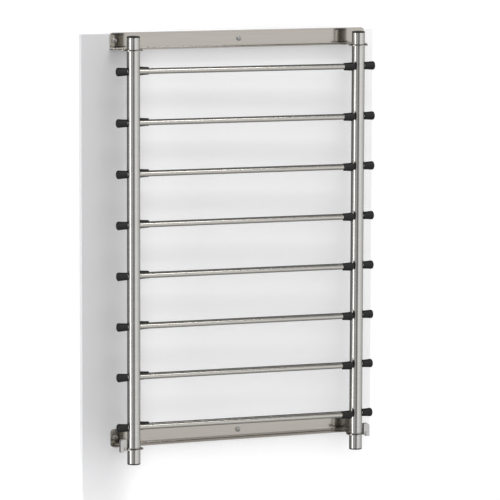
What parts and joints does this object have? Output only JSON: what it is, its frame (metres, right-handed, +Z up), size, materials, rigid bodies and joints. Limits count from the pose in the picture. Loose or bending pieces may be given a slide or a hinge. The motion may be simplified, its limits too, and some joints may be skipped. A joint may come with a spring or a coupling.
{
  "type": "wall-mounted swing-out drying rack",
  "caption": "Wall-mounted drying rack: two tube posts turn in slim sheet-steel wall brackets, each carrying a ladder of rods that swings out as a gate to hang laundry.",
  "frame": {"origin": "on the wall plane, at the centre of the rectangle made by the four corner wall screws", "axes": "+Z up, +X along the wall to the viewer's right, +Y into the wall; the rack stands out towards -Y"},
  "size_m": [0.6314, 0.121, 0.9869],
  "materials": {
    "brushed_strip_steel": "stainless sheet, ground lengthwise and polished bright",
    "tube_steel": "stainless tube, polished round its girth to a satin mirror",
    "rod_steel": "thin stainless tube, bright drawn and polished",
    "screw_steel": "stainless steel, cold headed, bare",
    "cap_rubber": "moulded black rubber, matt",
    "plug_plastic": "moulded black polyethylene, fine matt",
    "bush_nylon": "black nylon, moulded",
    "clip_grey": "stainless steel, bead blasted to a light grey"
  },
  "bodies": {
    "wall_frame": {"top_bracket": "brushed_strip_steel", "bottom_bracket": "brushed_strip_steel", "wall_screws": "screw_steel", "ear_bushes": "bush_nylon", "left_ear_clip": "clip_grey", "right_ear_clip": "clip_grey"},
    "left_gate": {"left_post": "tube_steel", "left_post_plugs": "plug_plastic", "left_ring": "screw_steel", "left_rod_1": "rod_steel", "left_rod_2": "rod_steel", "left_rod_3": "rod_steel", "left_rod_4": "rod_steel", "left_rod_5": "rod_steel", "left_rod_6": "rod_steel", "left_rod_7": "rod_steel", "left_rod_8": "rod_steel", "left_stub_cap_1": "cap_rubber", "left_stub_cap_2": "cap_rubber", "left_stub_cap_3": "cap_rubber", "left_stub_cap_4": "cap_rubber", "left_stub_cap_5": "cap_rubber", "left_stub_cap_6": "cap_rubber", "left_stub_cap_7": "cap_rubber", "left_stub_cap_8": "cap_rubber", "left_tip_cap_1": "cap_rubber", "left_tip_cap_2": "cap_rubber", "left_tip_cap_3": "cap_rubber", "left_tip_cap_4": "cap_rubber", "left_tip_cap_5": "cap_rubber", "left_tip_cap_6": "cap_rubber", "left_tip_cap_7": "cap_rubber", "left_tip_cap_8": "cap_rubber"},
    "right_gate": {"right_post": "tube_steel", "right_post_plugs": "plug_plastic", "right_ring": "screw_steel", "right_rod_1": "rod_steel", "right_rod_2": "rod_steel", "right_rod_3": "rod_steel", "right_rod_4": "rod_steel", "right_rod_5": "rod_steel", "right_rod_6": "rod_steel", "right_rod_7": "rod_steel", "right_rod_8": "rod_steel", "right_stub_cap_1": "cap_rubber", "right_stub_cap_2": "cap_rubber", "right_stub_cap_3": "cap_rubber", "right_stub_cap_4": "cap_rubber", "right_stub_cap_5": "cap_rubber", "right_stub_cap_6": "cap_rubber", "right_stub_cap_7": "cap_rubber", "right_stub_cap_8": "cap_rubber", "right_tip_cap_1": "cap_rubber", "right_tip_cap_2": "cap_rubber", "right_tip_cap_3": "cap_rubber", "right_tip_cap_4": "cap_rubber", "right_tip_cap_5": "cap_rubber", "right_tip_cap_6": "cap_rubber", "right_tip_cap_7": "cap_rubber", "right_tip_cap_8": "cap_rubber"}
  },
  "joints": [
    {"name": "left_gate_swing", "type": "hinge", "parent": "wall_frame", "child": "left_gate", "pos_m": [-0.275, -0.057, 0], "axis": [0, 0, -1], "range_deg": [0, 102]},
    {"name": "right_gate_swing", "type": "hinge", "parent": "wall_frame", "child": "right_gate", "pos_m": [0.275, -0.057, 0], "axis": [0, 0, 1], "range_deg": [-3, 0]}
  ]
}
